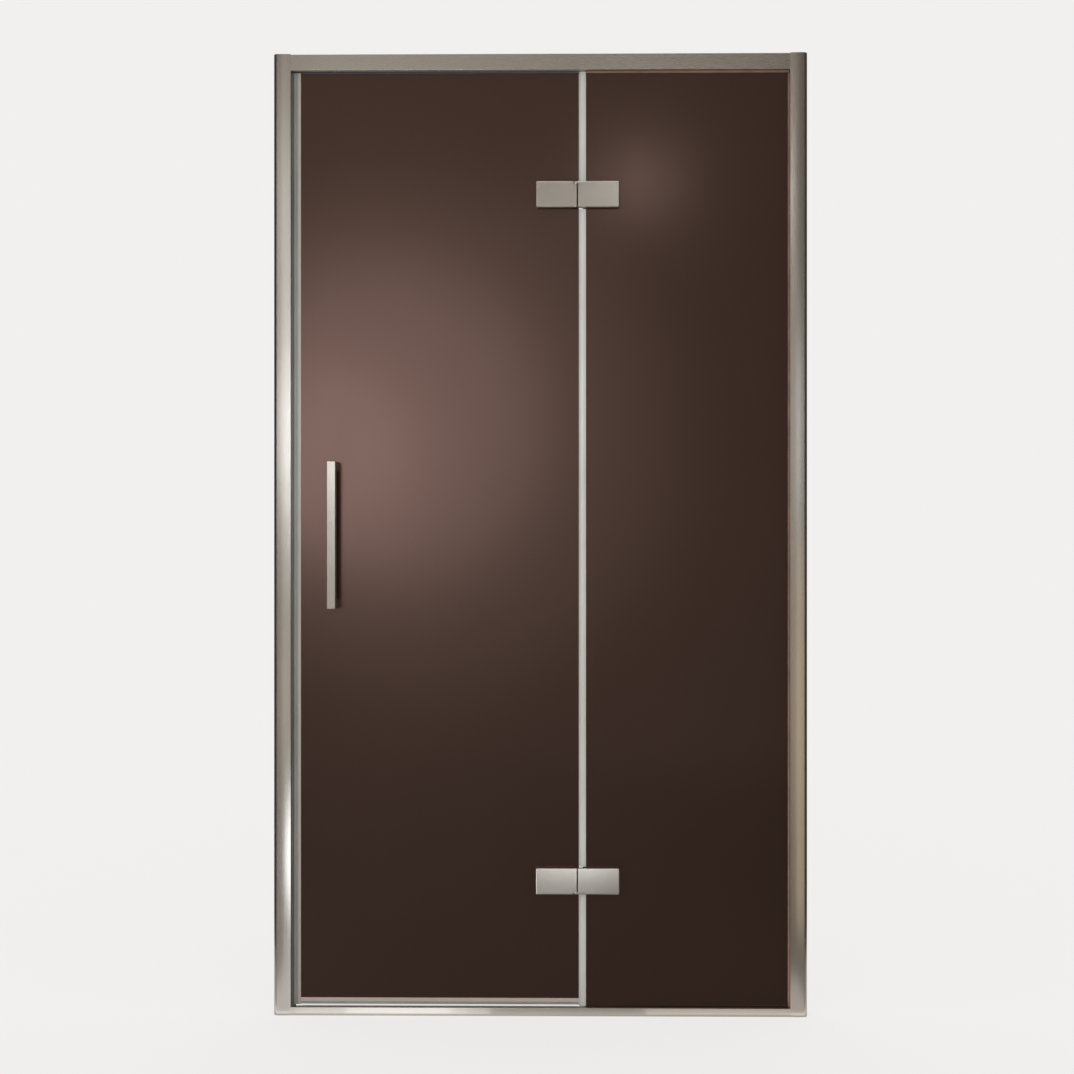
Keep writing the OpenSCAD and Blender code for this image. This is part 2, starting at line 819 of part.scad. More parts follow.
// Countersunk socket screw, head end at the origin, pointing to -y
module clamp_screw(l) {
    rotate([90, 0, 0]) difference() {
        union() {
            cylinder(h = l, r = clamp_r);
            cylinder(h = head_h, r1 = head_r, r2 = clamp_r);
        }
        translate([0, 0, -over]) cylinder(h = over + 0.8 * head_h, r = 0.75 * clamp_r, $fn = 6);
    }
}

module leaf_screws() {
    tip_y = leaf_t - axis_depth - thread_depth + 0.5;
    for (x = screw_xs)
        translate([x, plate_y1 - sink, 0]) clamp_screw(plate_y1 - sink - tip_y);
}

module fixed_hinge_gaskets() {
    color(clear_nylon) for (z = hinge_levels) fixed_side(z) leaf_gaskets();
}

module door_hinge_gaskets() {
    color(clear_nylon) for (z = hinge_levels) door_side(z) leaf_gaskets();
}

module fixed_hinge_sleeves() {
    color(clear_nylon) for (z = hinge_levels) fixed_side(z) leaf_sleeves();
}

module door_hinge_sleeves() {
    color(clear_nylon) for (z = hinge_levels) door_side(z) leaf_sleeves();
}

module fixed_hinge_screws() {
    color(bare_metal) for (z = hinge_levels) fixed_side(z) leaf_screws();
}

module door_hinge_screws() {
    color(bare_metal) for (z = hinge_levels) door_side(z) leaf_screws();
}

// Hinge pin with bevelled ends, pressed into the fixed leaf's ear
module hinge_pin(z) {
    end = leaf_h / 2 - 0.5;
    bevel = 0.4;
    on_axis(z) rotate_extrude()
        polygon([[0, -end], [pin_r - bevel, -end], [pin_r, bevel - end],
            [pin_r, end - bevel], [pin_r - bevel, end], [0, end]]);
}

module upper_hinge_pin() {
    color(bare_metal) hinge_pin(upper_z);
}

module lower_hinge_pin() {
    color(bare_metal) hinge_pin(lower_z);
}

// Nylon washer between the two knuckles of the upper hinge
module hinge_washer() {
    z0 = barrel_z + washer_play;
    difference() {
        bar_z(0, 0, z0, z0 + washer_t, axis_depth - washer_play);
        bar_z(0, 0, z0 - over, z0 + washer_t + over, pin_r + pin_run_fit);
    }
}

module hinge_washers() {
    color(clear_nylon) {
        on_axis(upper_z) hinge_washer();
        on_axis(lower_z) mirror([0, 0, 1]) hinge_washer();
    }
}

module door_glass() {
    color(bronze_glass) difference() {
        pane(door_x0, door_x1, door_z0, door_z1);
        glass_holes([for (x = screw_xs) seam_x - x], hinge_levels);
        glass_holes([handle_x], handle_zs);
    }
}

// Door's closing seal: clip on the free edge and a case with the magnet at its nose
module door_magnet_seal() {
    web_x = door_x0 - clip_gap - clip_web;
    magnet_back = nose_x + 0.8 + magnet_t + 0.8;
    color(seal_grey) along_z(sweep_z, seal_top) {
        translate([door_x0, 0]) clip_profile(strike_reach);
        difference() {
            soft_rect([nose_x, -head_y], [web_x + 0.4, head_y], [0.6, 0, 0, 0.6]);
            door_magnet_outline(snug_fit);
            translate([magnet_back, seal_wall - head_y])
                square([web_x - magnet_back, 2 * (head_y - seal_wall)]);
        }
    }
}

module door_magnet_outline(g) {
    translate([nose_x + 0.8 - g, -magnet_w / 2 - g])
        square([magnet_t + 2 * g, magnet_w + 2 * g]);
}

module door_magnet_strip() {
    color(dark_rubber) along_z(sweep_z, seal_top) door_magnet_outline(0);
}

// Door's bottom seal: clip, hollow tube, and a fin that sheds water to the inside
module door_bottom_seal() {
    web_z = door_z0 - clip_gap - clip_web;
    tube_r = (web_z + 0.2 - sweep_z) / 2;
    fin_y = glass_y + 3.6;
    color(seal_grey) along_x(door_x0 + strike_reach + slide_fit, door_x1) {
        translate([0, door_z0]) rotate(90) clip_profile(sweep_reach);
        translate([0, sweep_z + tube_r]) difference() {
            circle(tube_r);
            circle(tube_r - seal_wall);
        }
        polygon([[fin_y - 0.4, sweep_z + 0.2], [fin_y + 0.4, sweep_z + 1.2],
            [glass_y + 0.6, web_z + 0.4], [glass_y - 1.2, web_z + 0.4]]);
    }
}

// Handle: square bar returned to the glass at both ends
module handle() {
    half = handle_l / 2;
    x = handle_bar / 2;
    r = handle_edge_r;
    gap_y = handle_front_y + handle_bar;
    gap_z = half - handle_bar;
    color(metal) translate([handle_x, 0, handle_z]) difference() {
        intersection() {
            along_x(-x, x) difference() {
                soft_rect([handle_front_y, -half], [handle_back_y, half], [r, 0, 0, r]);
                soft_rect([gap_y, -gap_z], [handle_back_y + over, gap_z], [r, 0, 0, r]);
            }
            along_z(-half, half)
                soft_rect([-x, handle_front_y], [x, handle_back_y], [r, r, 0, 0]);
            along_y(handle_front_y, handle_back_y)
                soft_rect([-x, -half], [x, half], [r, r, r, r]);
        }
        for (z = [-post_z, post_z])
            bar_y(0, handle_back_y - handle_thread, handle_back_y + over, z,
                clamp_r + snug_fit);
    }
}

// Square pads under the posts and round pads under the plates behind the glass
module handle_pads() {
    x = handle_bar / 2 - gasket_margin;
    color(clear_nylon) for (z = handle_zs) translate([handle_x, 0, z]) {
        difference() {
            along_y(handle_back_y, -glass_y) square(2 * x, center = true);
            bar_y(0, handle_back_y - over, over - glass_y, 0, sleeve_r + snug_fit);
        }
        difference() {
            bar_y(0, glass_y, glass_y + gasket_t, 0, rose_r - gasket_margin);
            bar_y(0, glass_y - over, glass_y + gasket_t + over, 0, sleeve_r + snug_fit);
        }
    }
}

module handle_sleeves() {
    color(clear_nylon) for (z = handle_zs) translate([handle_x, 0, z]) difference() {
        bar_y(0, handle_back_y, -handle_back_y, 0, sleeve_r);
        bar_y(0, handle_back_y - over, over - handle_back_y, 0, sleeve_bore_r);
    }
}

// Round countersunk plates on the inside of the door
rose_y0 = glass_y + gasket_t;
rose_y1 = rose_y0 + rose_t;
module handle_roses() {
    color(metal) for (z = handle_zs) translate([handle_x, 0, z]) difference() {
        translate([0, rose_y0, 0]) rotate([-90, 0, 0]) rotate_extrude()
            soft_rect([0, 0], [rose_r, rose_t], [0, 0, plate_edge_r, 0]);
        countersink(0, rose_y0, rose_y1);
    }
}

module handle_screws() {
    tip_y = handle_back_y - handle_thread + 0.5;
    color(bare_metal) for (z = handle_zs)
        translate([handle_x, rose_y1 - sink, z]) clamp_screw(rose_y1 - sink - tip_y);
}

left_wall_channel();
right_wall_channel();
left_jamb();
right_jamb();
left_jamb_cap();
right_jamb_cap();
top_rail();
threshold_rail();
top_rail_infill();
threshold_infill();
corner_screws();
jamb_screws();
jamb_screw_caps();
jamb_magnet_seal();
jamb_magnet_strip();
fixed_glass();
side_glazing_gaskets();
top_glazing_gaskets();
bottom_glazing_gaskets();
setting_blocks();
centre_seal();
upper_fixed_leaf();
lower_fixed_leaf();
upper_fixed_backplate();
lower_fixed_backplate();
upper_hinge_pin();
lower_hinge_pin();
hinge_washers();
fixed_hinge_gaskets();
fixed_hinge_sleeves();
fixed_hinge_screws();
door_glass();
door_magnet_seal();
door_magnet_strip();
door_bottom_seal();
upper_door_leaf();
lower_door_leaf();
upper_door_backplate();
lower_door_backplate();
door_hinge_gaskets();
door_hinge_sleeves();
door_hinge_screws();
handle();
handle_pads();
handle_sleeves();
handle_screws();
handle_roses();
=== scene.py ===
import math

import bpy
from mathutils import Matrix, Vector


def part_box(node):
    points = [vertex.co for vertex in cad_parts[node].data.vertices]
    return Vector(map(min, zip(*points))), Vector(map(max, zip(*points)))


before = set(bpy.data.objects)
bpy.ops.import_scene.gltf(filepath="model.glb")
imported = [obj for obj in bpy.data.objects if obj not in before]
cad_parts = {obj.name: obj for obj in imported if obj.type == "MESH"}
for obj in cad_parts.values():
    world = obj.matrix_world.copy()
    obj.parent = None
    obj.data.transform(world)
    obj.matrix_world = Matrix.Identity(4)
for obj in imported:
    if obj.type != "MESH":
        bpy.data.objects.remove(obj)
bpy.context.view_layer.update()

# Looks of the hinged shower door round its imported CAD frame: materials, camera, room and lamps.
# Metres, origin on the tray under the middle of the threshold, -Y towards the person outside.
# Colours are linear.

bpy.context.scene.view_settings.view_transform = "Standard"


# Shader nodes

# Sockets of a Mix node that mixes colours
MIX_SHARE, MIX_FIRST, MIX_SECOND, MIX_RESULT = 0, 6, 7, 2

# Noise hardly leaves this range
NOISE_RANGE = (0.3, 0.7)


class Nodes:
    """Adds shader nodes to one node tree, in few words."""

    def __init__(self, tree):
        self.tree = tree
        tree.nodes.clear()

    def add(self, kind, **values):
        node = self.tree.nodes.new("ShaderNode" + kind)
        for name, value in values.items():
            setattr(node, name, value)
        return node

    def link(self, source, target):
        self.tree.links.new(source, target)

    def feed(self, socket, value):
        """Gives a socket a link, a number or a colour."""
        if isinstance(value, bpy.types.NodeSocket):
            self.link(value, socket)
        elif isinstance(value, (int, float)):
            socket.default_value = value
        else:
            socket.default_value = (*value, 1.0)

    def math(self, operation, a, b, clamp=False):
        node = self.add("Math", operation=operation, use_clamp=clamp)
        self.feed(node.inputs[0], a)
        self.feed(node.inputs[1], b)
        return node.outputs[0]

    def spread(self, value, low, high, to_low=0.0, to_high=1.0):
        """Maps low..high of a value smoothly to to_low..to_high, held at both ends."""
        node = self.add("MapRange", interpolation_type="SMOOTHSTEP")
        self.link(value, node.inputs["Value"])
        node.inputs["From Min"].default_value = low
        node.inputs["From Max"].default_value = high
        node.inputs["To Min"].default_value = to_low
        node.inputs["To Max"].default_value = to_high
        return node.outputs[0]

    def mix(self, share, first, second):
        """A colour between the first and the second."""
        node = self.add("Mix", data_type="RGBA")
        self.feed(node.inputs[MIX_SHARE], share)
        self.feed(node.inputs[MIX_FIRST], first)
        self.feed(node.inputs[MIX_SECOND], second)
        return node.outputs[MIX_RESULT]

    def place(self):
        """The point's own place on the object, in metres."""
        return self.add("TexCoord").outputs["Object"]

    def along(self, place, axis):
        """One coordinate of a place."""
        parts = self.add("SeparateXYZ")
        self.link(place, parts.inputs[0])
        return parts.outputs[axis]

    def noise(self, place, size, stretch=(1, 1, 1), detail=2.0, roughness=0.5):
        """Noise whose blobs are about size metres across, times stretch along each axis."""
        scaling = self.add("Mapping")
        scaling.inputs["Scale"].default_value = [1 / (size * s) for s in stretch]
        self.link(place, scaling.inputs["Vector"])
        noise = self.add("TexNoise")
        noise.inputs["Scale"].default_value = 1.0
        noise.inputs["Detail"].default_value = detail
        noise.inputs["Roughness"].default_value = roughness
        self.link(scaling.outputs[0], noise.inputs["Vector"])
        return noise.outputs["Fac"]

    def bump(self, height, strength, distance):
        node = self.add("Bump")
        node.inputs["Strength"].default_value = strength
        node.inputs["Distance"].default_value = distance
        self.link(height, node.inputs["Height"])
        return node.outputs[0]


def node_material(name):
    """A new material with an empty node tree: (material, its nodes, its surface socket)."""
    made = bpy.data.materials.new(name)
    made.use_nodes = True
    nodes = Nodes(made.node_tree)
    return made, nodes, nodes.add("OutputMaterial").inputs["Surface"]


def principled(name):
    """A new material with one Principled shader: (material, its nodes, the shader)."""
    made, nodes, surface = node_material(name)
    shader = nodes.add("BsdfPrincipled")
    nodes.link(shader.outputs[0], surface)
    return made, nodes, shader


# Metals

# How far the grain lines are stretched along each axis
ALONG_X = (60, 1, 1)
ALONG_Z = (1, 1, 60)
NO_GRAIN = (1, 1, 1)

LINE_SIZE = 0.0006
BEAD_SIZE = 0.0009
BEADS_ON_LINES = 0.5
LINES_IN_TONE = 0.2
TONE_RANGE = (0.36, 0.64)
METAL_BUMP = 0.02
METAL_RELIEF = 0.00004


def satin_metal(name, light, dark, grain, roughness, tone_size=0.25):
    """Fine lines along the grain, soft changes of tone, and a roughness that varies with the lines."""
    made, nodes, shader = principled(name)
    place = nodes.place()
    lines = nodes.noise(place, LINE_SIZE, grain, detail=3.0, roughness=0.6)
    beads = nodes.noise(place, BEAD_SIZE, detail=2.0)
    tone = nodes.noise(place, tone_size, detail=3.0)
    share = nodes.math("ADD", nodes.math("MULTIPLY", lines, LINES_IN_TONE),
                       nodes.math("MULTIPLY", tone, 1 - LINES_IN_TONE))
    nodes.link(nodes.mix(nodes.spread(share, *TONE_RANGE), dark, light), shader.inputs["Base Color"])
    nodes.link(nodes.spread(lines, *NOISE_RANGE, *roughness), shader.inputs["Roughness"])
    height = nodes.math("ADD", lines, nodes.math("MULTIPLY", beads, BEADS_ON_LINES))
    nodes.link(nodes.bump(height, METAL_BUMP, METAL_RELIEF), shader.inputs["Normal"])
    shader.inputs["Metallic"].default_value = 1.0
    return made


NICKEL = ((0.455, 0.406, 0.347), (0.435, 0.388, 0.331))
upright_metal = satin_metal("satin_nickel_upright", *NICKEL, ALONG_Z, (0.23, 0.26))
level_metal = satin_metal("satin_nickel_level", *NICKEL, ALONG_X, (0.26, 0.30))
sill_metal = satin_metal("satin_nickel_sill", *NICKEL, ALONG_X, (0.36, 0.42))
fitting_metal = satin_metal("satin_nickel_fitting", *NICKEL, ALONG_Z, (0.23, 0.255), tone_size=0.08)
# For the threshold's infill, lighter than the frame's nickel: its colour is a painted highlight on the
# strip under the door; its reflection is rendered
infill_metal_painted_highlight = satin_metal("aluminium_painted_highlight", (0.80, 0.80, 0.79), (0.76, 0.76, 0.75),
                           ALONG_X, (0.10, 0.16))
mill_metal = satin_metal("mill_aluminium", (0.62, 0.62, 0.61), (0.55, 0.55, 0.54),
                         ALONG_Z, (0.35, 0.5))
screw_metal = satin_metal("bright_screw", (0.60, 0.59, 0.57), (0.52, 0.51, 0.49),
                          NO_GRAIN, (0.2, 0.3), tone_size=0.004)


# Glass

# The coating mirrors twice what bare glass does, with a brown tint
COATED_IOR = 1.8
COATING_TINT = (1.0, 0.62, 0.5)
GLASS_DARK = (0.0118, 0.0064, 0.0048)
GLASS_LIGHT = (0.0138, 0.0074, 0.0056)
GLASS_ROUGHNESS = (0.178, 0.192)
GLASS_TONE_SIZE = 0.4
SMEAR_SIZE = 0.12
WAVE_SIZE = 0.35
WAVE_BUMP = 0.05
WAVE_RELIEF = 0.0006


def bronze_glass(name):
    """Bronze reflective glass: a dark brown body, a brown, slightly blurred reflection, faint waves."""
    made, nodes, shader = principled(name)
    place = nodes.place()
    tone = nodes.noise(place, GLASS_TONE_SIZE, detail=2.0)
    smears = nodes.noise(place, SMEAR_SIZE, (1, 1, 3), detail=4.0, roughness=0.6)
    waves = nodes.noise(place, WAVE_SIZE, (1, 1, 2), detail=1.0)
    colour = nodes.mix(nodes.spread(tone, *NOISE_RANGE), GLASS_DARK, GLASS_LIGHT)
    nodes.link(colour, shader.inputs["Base Color"])
    nodes.link(nodes.spread(smears, *NOISE_RANGE, *GLASS_ROUGHNESS), shader.inputs["Roughness"])
    nodes.link(nodes.bump(waves, WAVE_BUMP, WAVE_RELIEF), shader.inputs["Normal"])
    shader.inputs["IOR"].default_value = COATED_IOR
    shader.inputs["Specular Tint"].default_value = (*COATING_TINT, 1.0)
    return made


glass = bronze_glass("bronze_glass_reflective")


# Seals of translucent PVC

SEAL_LINE_SIZE = 0.0012
SEAL_TONE_SIZE = 0.15
SEAL_ROUGHNESS = (0.3, 0.42)
SEAL_BUMP = 0.1
SEAL_RELIEF = 0.00005
SCATTER_WEIGHT = 0.25
SCATTER_RADIUS = (0.002, 0.002, 0.0018)
CLIP_BLEND = 0.001


def soft_seal(name, light, dark, over_glass=None, axis="X", edge=0.0):
    """Soft sheen, light scattered inside, faint lines along the extrusion. over_glass is the colour
    past edge on the axis, where the pane shows through the clip."""
    made, nodes, shader = principled(name)
    place = nodes.place()
    lines = nodes.noise(place, SEAL_LINE_SIZE, ALONG_Z if axis == "X" else ALONG_X, detail=2.0)
    tone = nodes.noise(place, SEAL_TONE_SIZE, detail=3.0)
    colour = nodes.mix(nodes.spread(tone, *NOISE_RANGE), dark, light)
    if over_glass:
        clipped = nodes.spread(nodes.along(place, axis), edge - CLIP_BLEND, edge + CLIP_BLEND)
        colour = nodes.mix(clipped, colour, over_glass)
    nodes.link(colour, shader.inputs["Base Color"])
    nodes.link(nodes.spread(lines, *NOISE_RANGE, *SEAL_ROUGHNESS), shader.inputs["Roughness"])
    nodes.link(nodes.bump(lines, SEAL_BUMP, SEAL_RELIEF), shader.inputs["Normal"])
    shader.inputs["Subsurface Weight"].default_value = SCATTER_WEIGHT
    shader.inputs["Subsurface Radius"].default_value = SCATTER_RADIUS
    shader.inputs["Subsurface Scale"].default_value = 1.0
    return made


# The door pane's free edge and bottom edge meet in its low corner
door_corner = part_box("door_glass")[0]
free_edge_x = door_corner[0]
bottom_edge_z = door_corner[2]

seal = soft_seal("seal_pvc_grey", (0.48, 0.47, 0.425), (0.42, 0.41, 0.37))
# The strike and jamb seals are darker copies of the grey seal PVC: painted shade of the recesses they
# sit in
shaded_strike_seal = soft_seal("seal_pvc_strike_painted_shade", (0.20, 0.196, 0.17), (0.17, 0.166, 0.145),
                        (0.31, 0.28, 0.235), "X", free_edge_x)
sweep_seal = soft_seal("seal_pvc_sweep", (0.33, 0.345, 0.30), (0.28, 0.29, 0.25),
                       (0.40, 0.32, 0.28), "Z", bottom_edge_z)
shaded_jamb_seal = soft_seal("seal_pvc_jamb_painted_shade", (0.11, 0.10, 0.09), (0.08, 0.074, 0.067))


# Moulded plastic and rubber

GRAIN_SIZE = 0.002
TONE_SIZE = 0.05
GRAIN_RELIEF = 0.00004


def moulded(name, light, dark, roughness, bump=0.15, metallic=0.0):
    """Fine grain, and a soft change of tone and of roughness."""
    made, nodes, shader = principled(name)
    place = nodes.place()
    grain = nodes.noise(place, GRAIN_SIZE, detail=3.0)
    tone = nodes.noise(place, TONE_SIZE, detail=2.0)
    nodes.link(nodes.mix(nodes.spread(tone, *NOISE_RANGE), dark, light), shader.inputs["Base Color"])
    nodes.link(nodes.spread(grain, *NOISE_RANGE, *roughness), shader.inputs["Roughness"])
    nodes.link(nodes.bump(grain, bump, GRAIN_RELIEF), shader.inputs["Normal"])
    shader.inputs["Metallic"].default_value = metallic
    return made


lip_pvc = moulded("gasket_pvc_bronze", (0.23, 0.13, 0.088), (0.17, 0.095, 0.065), (0.25, 0.35),
                  bump=0.06)
magnet = moulded("magnet_rubber_dark", (0.035, 0.034, 0.033), (0.022, 0.021, 0.021), (0.5, 0.7))
rubber = moulded("gasket_rubber_black", (0.024, 0.024, 0.024), (0.015, 0.015, 0.015), (0.5, 0.75))
nylon = moulded("nylon_natural", (0.74, 0.73, 0.68), (0.66, 0.65, 0.6), (0.35, 0.5))
cap_plastic = moulded("cap_plastic_nickel", (0.5, 0.46, 0.42), (0.45, 0.41, 0.37), (0.3, 0.4),
                      bump=0.06, metallic=0.8)


# Which node gets which material

# By the node's material in the record
LOOKS = {
    "satin_frame": upright_metal,
    "plain_aluminium": mill_metal,
    "satin_fittings": fitting_metal,
    "screw_steel": screw_metal,
    "cap_plastic": cap_plastic,
    "bronze_glass": glass,
    "seal_pvc": seal,
    "bronze_pvc": lip_pvc,
    "magnet_rubber": magnet,
    "black_rubber": rubber,
    "clear_nylon": nylon,
}
# By the node's own name, which goes before that
NODE_LOOKS = {
    "top_rail": level_metal,
    "threshold_rail": sill_metal,
    # threshold_infill: lighter metal than the frame, a painted highlight on the strip under the door
    "threshold_infill": infill_metal_painted_highlight,
    # The top rail's infill is frame metal; black rubber on it is painted shade under the rail
    "top_rail_infill": rubber,
    # Both magnet seals get darker copies of the grey seal: painted shade of their recesses
    "jamb_magnet_seal": shaded_jamb_seal,
    "door_magnet_seal": shaded_strike_seal,
    "door_bottom_seal": sweep_seal,
}

for name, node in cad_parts.items():
    for slot in node.material_slots:
        record_material = slot.material.name.split(".")[0]
        slot.material = NODE_LOOKS.get(name, LOOKS[record_material])


# Camera

# The photograph's viewing angle, nearly square to the door and at half its height
CAMERA_AT = (0.0307, -3.268, 0.9956)
CAMERA_TOWARDS = (-0.0063, -0.018, 0.9952)
LENS_MM = 52.47
SENSOR_MM = 36.0
CLIP_START = 0.05
CLIP_END = 100.0


def look_at(thing, target):
    """Turns a lamp or camera so that it faces the target."""
    thing.rotation_euler = (Vector(target) - thing.location).to_track_quat("-Z", "Y").to_euler()


def make_camera():
    data = bpy.data.cameras.new("camera")
    data.lens = LENS_MM
    data.sensor_width = SENSOR_MM
    data.clip_start = CLIP_START
    data.clip_end = CLIP_END
    camera = bpy.data.objects.new("camera", data)
    bpy.context.scene.collection.objects.link(camera)
    camera.location = CAMERA_AT
    look_at(camera, CAMERA_TOWARDS)
    bpy.context.scene.camera = camera


# Room

# Pale behind the door, and dim in front of it, more so on the right and low down. Only the camera and
# reflections see that: matt surfaces get an even fill of light instead.
PALE = (0.879, 0.871, 0.863)
ROOM_LEFT = (0.54, 0.50, 0.47)
ROOM_RIGHT = (0.30, 0.28, 0.25)
ROOM_LOW = (0.27, 0.26, 0.25)

# Where each change begins and ends, by the X, Z or Y of the direction looked in
LEFT_TO_RIGHT = (-0.3, 0.25)
LOW_TO_LEVEL = (-0.2, 0.1)
FRONT_TO_BACK = (-0.1, 0.45)

FILL = 0.95
FILL_COLOUR = (1.0, 0.99, 0.98)


def seen_directly(nodes):
    """1 for what the camera sees, also in a reflection or through something clear."""
    path = nodes.add("LightPath")
    seen = nodes.math("ADD", path.outputs["Is Camera Ray"], path.outputs["Is Glossy Ray"])
    return nodes.math("ADD", seen, path.outputs["Is Transmission Ray"], clamp=True)


def make_world():
    world = bpy.data.worlds.new("studio")
    bpy.context.scene.world = world
    world.use_nodes = True
    nodes = Nodes(world.node_tree)
    out = nodes.add("OutputWorld")
    way = nodes.add("SeparateXYZ")
    nodes.link(nodes.add("TexCoord").outputs["Generated"], way.inputs[0])
    across, deep, up = way.outputs
    front = nodes.mix(nodes.spread(across, *LEFT_TO_RIGHT), ROOM_LEFT, ROOM_RIGHT)
    front = nodes.mix(nodes.spread(up, *LOW_TO_LEVEL), ROOM_LOW, front)
    seen = nodes.add("Background")
    nodes.link(nodes.mix(nodes.spread(deep, *FRONT_TO_BACK), front, PALE), seen.inputs["Color"])
    fill = nodes.add("Background")
    fill.inputs["Color"].default_value = (*FILL_COLOUR, 1)
    fill.inputs["Strength"].default_value = FILL
    which = nodes.add("MixShader")
    nodes.link(seen_directly(nodes), which.inputs[0])
    nodes.link(fill.outputs[0], which.inputs[1])
    nodes.link(seen.outputs[0], which.inputs[2])
    nodes.link(which.outputs[0], out.inputs["Surface"])


# Floor

# Pale of itself, and matt enough to keep the object's shadow
FLOOR_RADIUS = 6.0
FLOOR_RINGS = 12
FLOOR_SIDES = 64
FLOOR_FADE = (2.6, 5.8)
FLOOR_MATT = (0.13, 0.13, 0.13)
FLOOR_GLOW = 0.86


def disc(name, radius, rings, sides):
    """A flat round mesh of rings of faces."""
    points = [(0, 0, 0)]
    for ring in range(1, rings + 1):
        reach = radius * ring / rings
        for side in range(sides):
            angle = 2 * math.pi * side / sides
            points.append((reach * math.cos(angle), reach * math.sin(angle), 0))
    faces = [(0, 1 + side, 1 + (side + 1) % sides) for side in range(sides)]
    for ring in range(1, rings):
        inner = 1 + (ring - 1) * sides
        outer = inner + sides
        for side in range(sides):
            after = (side + 1) % sides
            faces.append((inner + side, outer + side, outer + after, inner + after))
    mesh = bpy.data.meshes.new(name)
    mesh.from_pydata(points, [], faces)
    return mesh


def make_floor():
    """A plain pale floor that fades into the room round it."""
    mesh = disc("floor", FLOOR_RADIUS, FLOOR_RINGS, FLOOR_SIDES)
    floor = bpy.data.objects.new("floor", mesh)
    bpy.context.scene.collection.objects.link(floor)

    made, nodes, surface = node_material("floor_pale")
    matt = nodes.add("BsdfDiffuse")
    matt.inputs["Color"].default_value = (*FLOOR_MATT, 1)
    glow = nodes.add("Emission")
    glow.inputs["Color"].default_value = (*PALE, 1)
    glow.inputs["Strength"].default_value = FLOOR_GLOW
    both = nodes.add("AddShader")
    nodes.link(matt.outputs[0], both.inputs[0])
    nodes.link(glow.outputs[0], both.inputs[1])
    clear = nodes.add("BsdfTransparent")
    away = nodes.add("VectorMath", operation="LENGTH")
    nodes.link(nodes.place(), away.inputs[0])
    fade = nodes.add("MixShader")
    nodes.link(nodes.spread(away.outputs["Value"], *FLOOR_FADE), fade.inputs[0])
    nodes.link(both.outputs[0], fade.inputs[1])
    nodes.link(clear.outputs[0], fade.inputs[2])
    nodes.link(fade.outputs[0], surface)
    mesh.materials.append(made)


# Dark cards

# Seen only in reflections: beside the jambs as a photographer sets dark cards beside shiny things,
# on the floor as a painted reflection of a darker floor
CARD_DARK = (0.075, 0.065, 0.052)
CARD_OUT = 1.02
CARD_HEIGHT = 3.2
CARD_BACK = 1.5
LEFT_CARD_FRONT = -1.9
RIGHT_CARD_FRONT = -2.4

# The floor card: a painted reflection of the floor, darker than the floor the camera sees and lighter
# on the left
LOW_CARD_LEFT = (0.31, 0.30, 0.29)
LOW_CARD_RIGHT = (0.19, 0.18, 0.17)
LOW_CARD_OUT = 1.6
LOW_CARD_FRONT = -4.0
LOW_CARD_BACK = -0.04
LOW_CARD_Z = 0.002
CARD_FADE = 0.9


def dark_card(name, corners, left, right):
    """A card whose colour goes from the one on the left to the one on the right."""
    made, nodes, surface = node_material(name)
    glow = nodes.add("Emission")
    across = nodes.along(nodes.place(), "X")
    colour = nodes.mix(nodes.spread(across, -CARD_FADE, CARD_FADE), left, right)
    nodes.link(colour, glow.inputs["Color"])
    nodes.link(glow.outputs[0], surface)
    mesh = bpy.data.meshes.new(name)
    mesh.from_pydata(corners, [], [(0, 1, 2, 3)])
    mesh.materials.append(made)
    card = bpy.data.objects.new(name, mesh)
    bpy.context.scene.collection.objects.link(card)
    card.visible_camera = False
    card.visible_diffuse = False
    card.visible_shadow = False


def make_cards():
    """A card beside each jamb and one on the floor in front of the glass."""
    sides = (("card_left", -CARD_OUT, LEFT_CARD_FRONT), ("card_right", CARD_OUT, RIGHT_CARD_FRONT))
    for name, x, front in sides:
        corners = [(x, front, 0), (x, CARD_BACK, 0),
                   (x, CARD_BACK, CARD_HEIGHT), (x, front, CARD_HEIGHT)]
        dark_card(name, corners, CARD_DARK, CARD_DARK)
    corners = [(-LOW_CARD_OUT, LOW_CARD_FRONT, LOW_CARD_Z), (LOW_CARD_OUT, LOW_CARD_FRONT, LOW_CARD_Z),
               (LOW_CARD_OUT, LOW_CARD_BACK, LOW_CARD_Z), (-LOW_CARD_OUT, LOW_CARD_BACK, LOW_CARD_Z)]
    dark_card("painted_floor_reflection", corners, LOW_CARD_LEFT, LOW_CARD_RIGHT)


# Lamps

# Each lights one group of nodes, since no single set gives glass, metal and seals their tones
PANES = ("door_glass", "fixed_glass")
FITTING_WORDS = ("leaf", "pin", "handle")


def node_group(name, wanted):
    """A collection of the nodes that wanted picks by name, for lamps to light."""
    group = bpy.data.collections.new(name)
    for node_name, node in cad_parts.items():
        if wanted(node_name):
            group.objects.link(node)
    return group


def soft_lamp(name, at, towards, size, radiance, lit, colour, shape="ELLIPSE"):
    """A soft box that lights the collection lit. radiance is how bright its face is: 1 is white."""
    data = bpy.data.lights.new(name, "AREA")
    data.shape = shape
    data.size, data.size_y = size
    area = size[0] * size[1] * (math.pi / 4 if shape == "ELLIPSE" else 1)
    data.energy = radiance * math.pi * area
    data.color = colour
    lamp = bpy.data.objects.new(name, data)
    bpy.context.scene.collection.objects.link(lamp)
    lamp.location = at
    look_at(lamp, towards)
    lamp.visible_camera = False
    lamp.light_linking.receiver_collection = lit


panes = node_group("lit_panes", lambda name: name in PANES)
others = node_group("lit_others", lambda name: name not in PANES)
seals = node_group("lit_seals", lambda name: "seal" in name)
metal = node_group("lit_metal", lambda name: name not in PANES and "seal" not in name)
fittings = node_group("lit_fittings", lambda name: any(word in name for word in FITTING_WORDS))

COOL = (0.95, 0.985, 1.05)
WHITE = (1.0, 1.0, 1.0)
DAYLIGHT = (0.88, 0.97, 1.09)
WARM = (1.0, 0.88, 0.66)

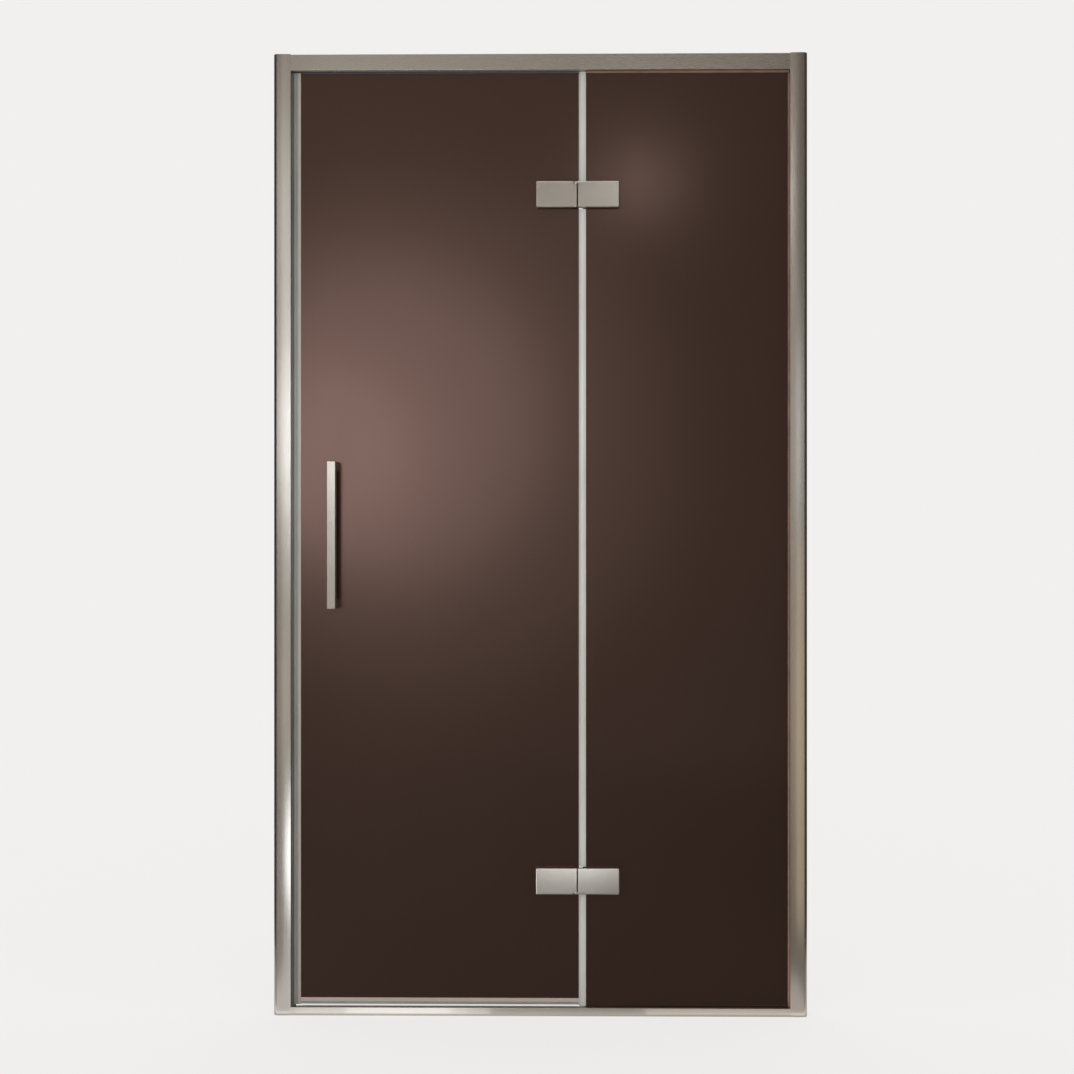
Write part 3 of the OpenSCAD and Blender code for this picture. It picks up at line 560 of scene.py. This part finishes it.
# Each row: name, place, size, radiance, what it lights, colour
FRONT_LAMPS = (
    ("lamp_door", (-0.70, -3.3, 1.484), (1.4, 1.4), 1.15, panes, COOL),
    ("lamp_wide", (-0.56, -3.32, 1.42), (2.2, 2.2), 0.32, panes, COOL),
    ("lamp_core", (-0.91, -3.28, 1.35), (0.76, 0.76), 1.25, panes, COOL),
    ("lamp_fixed", (0.385, -3.3, 2.485), (0.3, 0.22), 3.3, panes, COOL),
    ("lamp_jamb", (-0.95, -3.3, 1.44), (1.2, 0.42), 2.9, others, DAYLIGHT),
    ("lamp_streak", (-0.50, -3.3, 1.43), (0.40, 0.38), 20.0, others, DAYLIGHT),
    ("lamp_upper", (-1.0, -3.3, 2.35), (1.4, 0.8), 1.0, others, DAYLIGHT),
    ("lamp_lower", (-0.85, -3.3, 0.36), (0.9, 0.5), 0.7, others, WHITE),
    ("lamp_right", (1.05, -3.3, 1.40), (0.5, 0.8), 1.9, others, DAYLIGHT),
    ("lamp_corner", (0.44, -3.3, 2.44), (0.18, 0.2), 10.0, others, DAYLIGHT),
    ("lamp_low", (-0.36, -0.7, 0.20), (0.44, 0.38), 4.3, metal, DAYLIGHT),
    ("lamp_low_right", (0.09, -0.7, 0.29), (0.3, 0.22), 4.4, fittings, DAYLIGHT),
    ("lamp_seals", (-0.30, -1.2, 1.25), (0.5, 0.5), 6.0, seals, WHITE),
    ("lamp_side", (0.66, -0.7, 0.43), (0.15, 1.16), 0.8, metal, WARM),
)
FOOT_LAMPS = (
    ("lamp_foot", (0.0, -0.16, 0.0026), (1.9, 0.28), 0.15, metal, DAYLIGHT),
    ("lamp_foot_left", (-0.355, -0.31, 0.003), (0.50, 0.58), 0.6, metal, DAYLIGHT),
    ("lamp_foot_inner", (-0.33, -0.16, 0.0034), (0.36, 0.28), 0.28, metal, DAYLIGHT),
    ("lamp_foot_core", (-0.295, -0.16, 0.0038), (0.22, 0.28), 0.55, metal, DAYLIGHT),
    ("lamp_foot_right", (0.40, -0.16, 0.003), (0.36, 0.28), 0.45, metal, WHITE),
)
RIM_AT = (0.03, -1.4, 3.4)
RIM_TOWARDS = (0, 0, 1.5)
RIM_SIZE = (2.0, 0.7)
RIM_RADIANCE = 4.0


def make_lamps():
    """Lamps in front that face straight back, strips on the floor that face up, and one above."""
    for name, at, size, radiance, lit, colour in FRONT_LAMPS:
        soft_lamp(name, at, (at[0], 0, at[2]), size, radiance, lit, colour)
    for name, at, size, radiance, lit, colour in FOOT_LAMPS:
        soft_lamp(name, at, (at[0], at[1], 1), size, radiance, lit, colour, "RECTANGLE")
    soft_lamp("lamp_rim", RIM_AT, RIM_TOWARDS, RIM_SIZE, RIM_RADIANCE, fittings, DAYLIGHT)


make_camera()
make_world()
make_floor()
make_cards()
make_lamps()
